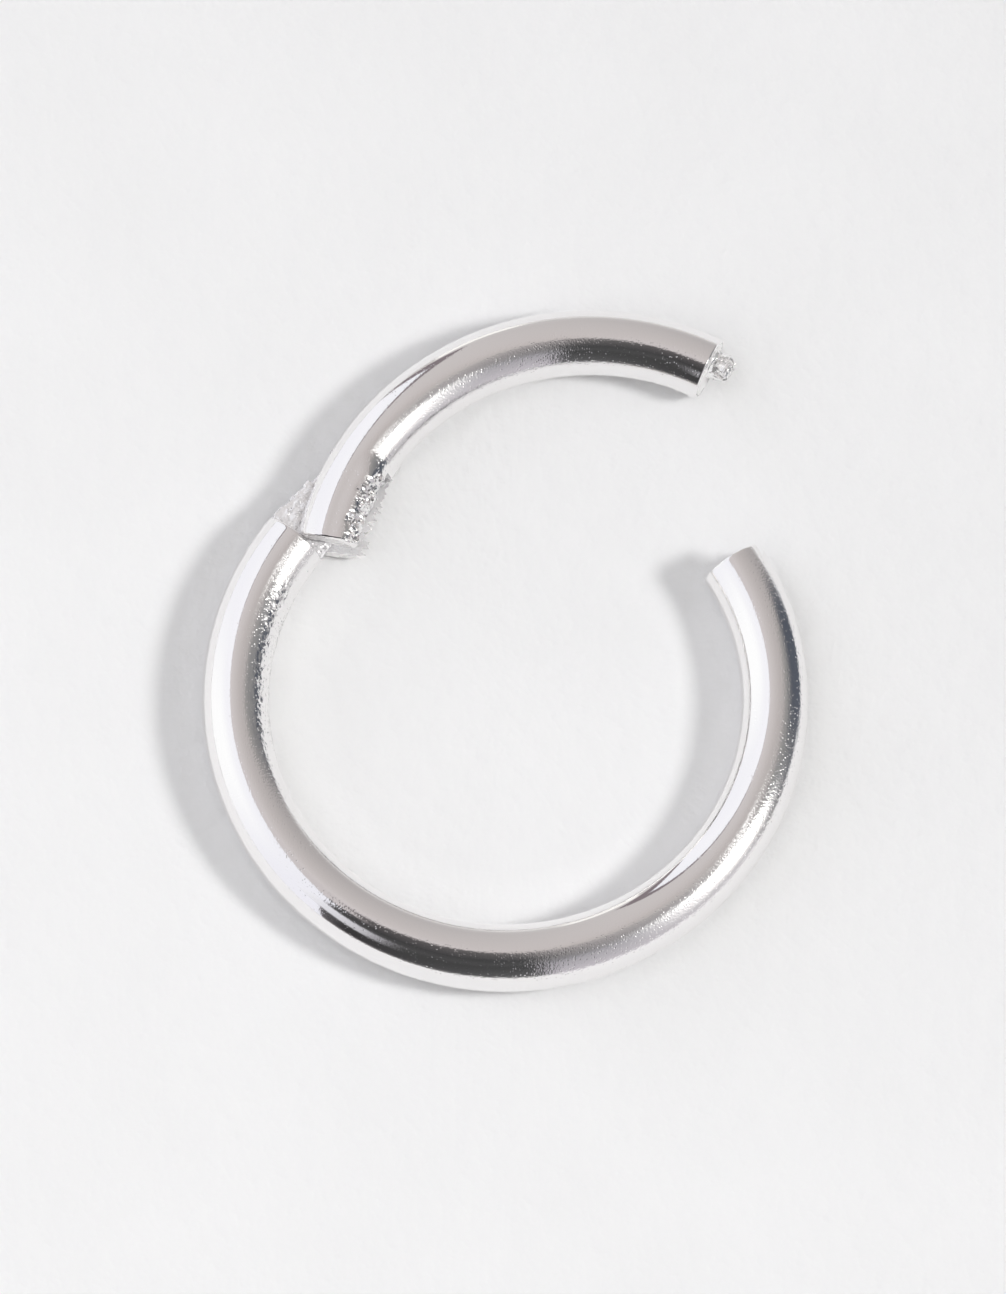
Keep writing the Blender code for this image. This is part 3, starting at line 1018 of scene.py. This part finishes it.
def sky_card(name, azimuths, zeniths, distance, tones, soft=(0, 0, 0, 0), lights_paper=False):
    """A patch of a dome between two azimuths and two zenith angles, low to high."""
    sheet = card(name, np.zeros((4, 3)), tones, soft, lights_paper)
    share = np.zeros((len(sheet.data.vertices), 2))
    share[corner_points(sheet.data)] = corner_shares(sheet.data)
    azimuth = np.radians(azimuths[0] + (azimuths[1] - azimuths[0]) * share[:, 0])
    zenith = np.radians(zeniths[0] + (zeniths[1] - zeniths[0]) * share[:, 1])
    around = np.sin(zenith)
    points = np.stack([around * np.cos(azimuth), around * np.sin(azimuth), np.cos(zenith)], -1)
    sheet.data.vertices.foreach_set("co", (points * distance * MM).reshape(-1))
    sheet.data.update()
    return sheet


# %% [markdown]
# ## The room above, behind and on the right
#
# Four ceilings close the dome. Strips near the horizon stand for the far
# end of the paper and a white gap behind. On the right a blue grey card
# stands far off, and a darker one stands only 11.5 mm away, so it shows
# large on the right arc and hardly at all on the left one.
#
# The white glints come from three bright cards: a wide glow, a hot spot in
# its middle and a narrow strip in front of them.

# %% The room above and behind
WARM = (190, 182, 180)
PALE = (200, 193, 192)
BACK = [(152, 148, 148), (202, 197, 196), PALE, WARM]
RIGHT = [(146, 144, 145), (150, 146, 146), WARM, (182, 176, 174)]
LEFT = [(208, 200, 202), (208, 200, 202), (188, 181, 181), PALE]
sky_card("back_ceiling", (45, 122), (97, 0), 2200, BACK)
sky_card("right_ceiling", (-12, 45), (97, 0), 2200, RIGHT)
sky_card("left_ceiling", (122, 235), (60, 0), 2200, LEFT)
sky_card(
    "horizon",
    (36, 112),
    (99, 72),
    1400,
    [(228, 226, 226), (246, 243, 240), (186, 182, 182), (196, 192, 190)],
    (0.2, 0, 0, 0.8),
)
sky_card("white_gap", (97, 113), (96, 78), 1350, [(250, 247, 243)] * 4, (0.3, 0, 0, 0.3))
sky_card(
    "blue_grey",
    (-9, 46),
    (99, 28),
    1300,
    [(90, 93, 101), (94, 94, 99), (156, 153, 150), (146, 145, 144)],
    (0.18, 0.25, 0, 0.25),
)
sky_card(
    "near_grey",
    (-9, 35),
    (99, 58),
    11.5,
    [(94, 98, 109), (82, 86, 94), (74, 79, 89), (82, 85, 92)],
    (0.3, 0.32, 0, 0.34),
)
sky_card(
    "front_ceiling",
    (262, 350),
    (50, 0),
    1300,
    [(80, 80, 82), (176, 174, 176), (172, 165, 164), (128, 124, 124)],
    (0, 0.15, 0, 0),
)
sky_card(
    "lavender",
    (281.8, 350),
    (94, 27),
    1200,
    [(196, 190, 197), (196, 192, 194), (176, 174, 179), (140, 138, 142)],
    (0, 0.12, 0, 0.35),
)
sky_card("far_paper", (45, 366), (97, 88.8), 60, [(238, 236, 237), (202, 198, 200)] * 2)
sky_card(
    "key_glow",
    (-56, 5),
    (86, 27),
    1100,
    [(214, 208, 210), (222, 218, 218), (300, 298, 296), (300, 298, 296)],
    (0.45, 0.3, 0.34, 0.22),
)
sky_card("key_spot", (-31, -1), (69, 32), 1090, [(480, 476, 470)] * 4, (0.5, 0.4, 0.45, 0.3))
card(
    "key_strip",
    [(490, -86, 600), (192, 130, 600), (142, 97, 600), (325, -58, 600)],
    [(320, 318, 315), (280, 278, 276), (280, 278, 276), (320, 318, 315)],
    (0.1, 0.25, 0.4, 0.4),
    False,
)

# %% [markdown]
# ## The soft box
#
# The box is a bright face with leaning sides, in a darker rim that stands a
# little behind it. A brighter patch glows in its middle, and a grey flap
# hangs over its front side.

# %% Soft box on the left
BOX_AWAY = 400.0


def leaning(depth, *places):
    """Corners on the upright plane left of the ring: (along, height) in depths."""
    return [(-depth, along * BOX_AWAY, height * BOX_AWAY) for along, height in places]


card(
    "box_rim",
    leaning(BOX_AWAY * 1.02, (1.66, 0), (-0.93, 0), (-0.61, 2.34), (1.10, 3.22)),
    [(112, 102, 106)] * 4,
)
card(
    "box_rim_side",
    leaning(BOX_AWAY * 1.02, (3.15, 1.04), (1.64, 0), (1.10, 3.20), (1.12, 3.22)),
    [(128, 118, 122)] * 4,
)
card(
    "box_face",
    leaning(BOX_AWAY, (1.48, 0), (-0.90, 0), (-0.585, 2.28), (1.05, 3.12)),
    [(243, 242, 247), (236, 235, 242), (234, 233, 240), (246, 245, 249)],
)
card(
    "box_face_side",
    leaning(BOX_AWAY, (2.25, 1.10), (1.48, 0), (1.05, 3.12), (1.06, 3.13)),
    [(238, 238, 243), (243, 242, 247), (246, 245, 249), (246, 245, 249)],
)
sky_card("box_middle", (138, 208), (95, 20), 380, [(253, 253, 253)] * 4, (0.4, 0.5, 0, 0.5))
sky_card(
    "box_flap",
    (212, 244),
    (64, 38),
    390,
    [(236, 235, 240), (150, 146, 150), (130, 126, 130), (236, 235, 240)],
    (0, 0.5, 0.25, 0.25),
)

# %% [markdown]
# ## Dark things in front
#
# Polished metal looks black only where it mirrors something black. The
# black card has a darker core, and a dark lens hangs over the ring.

# %% Dark things in front
sky_card(
    "black_card",
    (205, 281.8),
    (88.5, 18),
    1150,
    [(92, 88, 90), (102, 102, 103), (60, 60, 60), (58, 58, 58)],
    (0, 0, 0.02, 0.1),
)
sky_card(
    "dark_core",
    (222, 281.8),
    (86, 40),
    1140,
    [(47, 44, 46), (95, 95, 96), (60, 60, 60), (67, 67, 66)],
    (0.1, 0, 0.12, 0.3),
)
card(
    "dark_lens",
    [(-60, -66, 130), (27, -75, 130), (3, 3, 130), (-27, 4, 130)],
    [(58, 57, 58), (76, 76, 77), (102, 99, 99), (84, 80, 81)],
    (0.05, 0.22, 0.1, 0.2),
    False,
)

# %% [markdown]
# ## Lamps
#
# The key is a small hard lamp at the right, high up, and it gives the one
# clear shadow. The fill is broad and soft. The metal mirrors neither of
# them, since the cards already give it all that it should show.

# %% Lamps
def lamp(name, azimuth, zenith, distance, size, radiance):
    """A rectangular lamp aimed at the ring; power is radiance times pi times area."""
    data = bpy.data.lights.new(name, "AREA")
    data.shape = "RECTANGLE"
    data.size = size[0] * MM
    data.size_y = size[1] * MM
    data.energy = radiance * math.pi * data.size * data.size_y
    light = bpy.data.objects.new(name, data)
    bpy.context.scene.collection.objects.link(light)
    side = on_bend(azimuth + 90.0, 1.0)
    towards = on_bend(azimuth, math.sin(math.radians(zenith)))
    towards[2] = math.cos(math.radians(zenith))
    frame_up = np.cross(towards, side)
    turn = Matrix(np.column_stack([side, frame_up, towards]).tolist()).to_4x4()
    turn.translation = towards * distance * MM
    light.matrix_world = turn
    light.visible_glossy = False
    return light


lamp("key", -10.0, 46.0, 600.0, (110.0, 110.0), 48.3)
lamp("fill", 225.0, 22.0, 900.0, (900.0, 900.0), 0.95)
world = bpy.data.worlds.new("warm grey room")
bpy.context.scene.world = world
world.use_nodes = True
room = world.node_tree.nodes["Background"]
room.inputs["Color"].default_value = (0.374, 0.366, 0.360, 1.0)
room.inputs["Strength"].default_value = 1.0
bpy.context.scene.view_settings.view_transform = "Standard"

# %% [markdown]
# ## Round shading
#
# Smooth shading blends the small faces of the grids into round metal. Where
# two faces meet at more than 32 degrees the edge stays sharp, so the cuts
# do not look blown up.

# %% Shade the pieces
def shade_round(piece):
    """Round shading that keeps sharp cuts sharp."""
    piece.data.shade_smooth()
    piece.data.set_sharp_from_angle(angle=math.radians(32.0))


for piece in (hoop, segment, pin, stud):
    shade_round(piece)
    print(piece.name, [finish.name for finish in piece.data.materials])
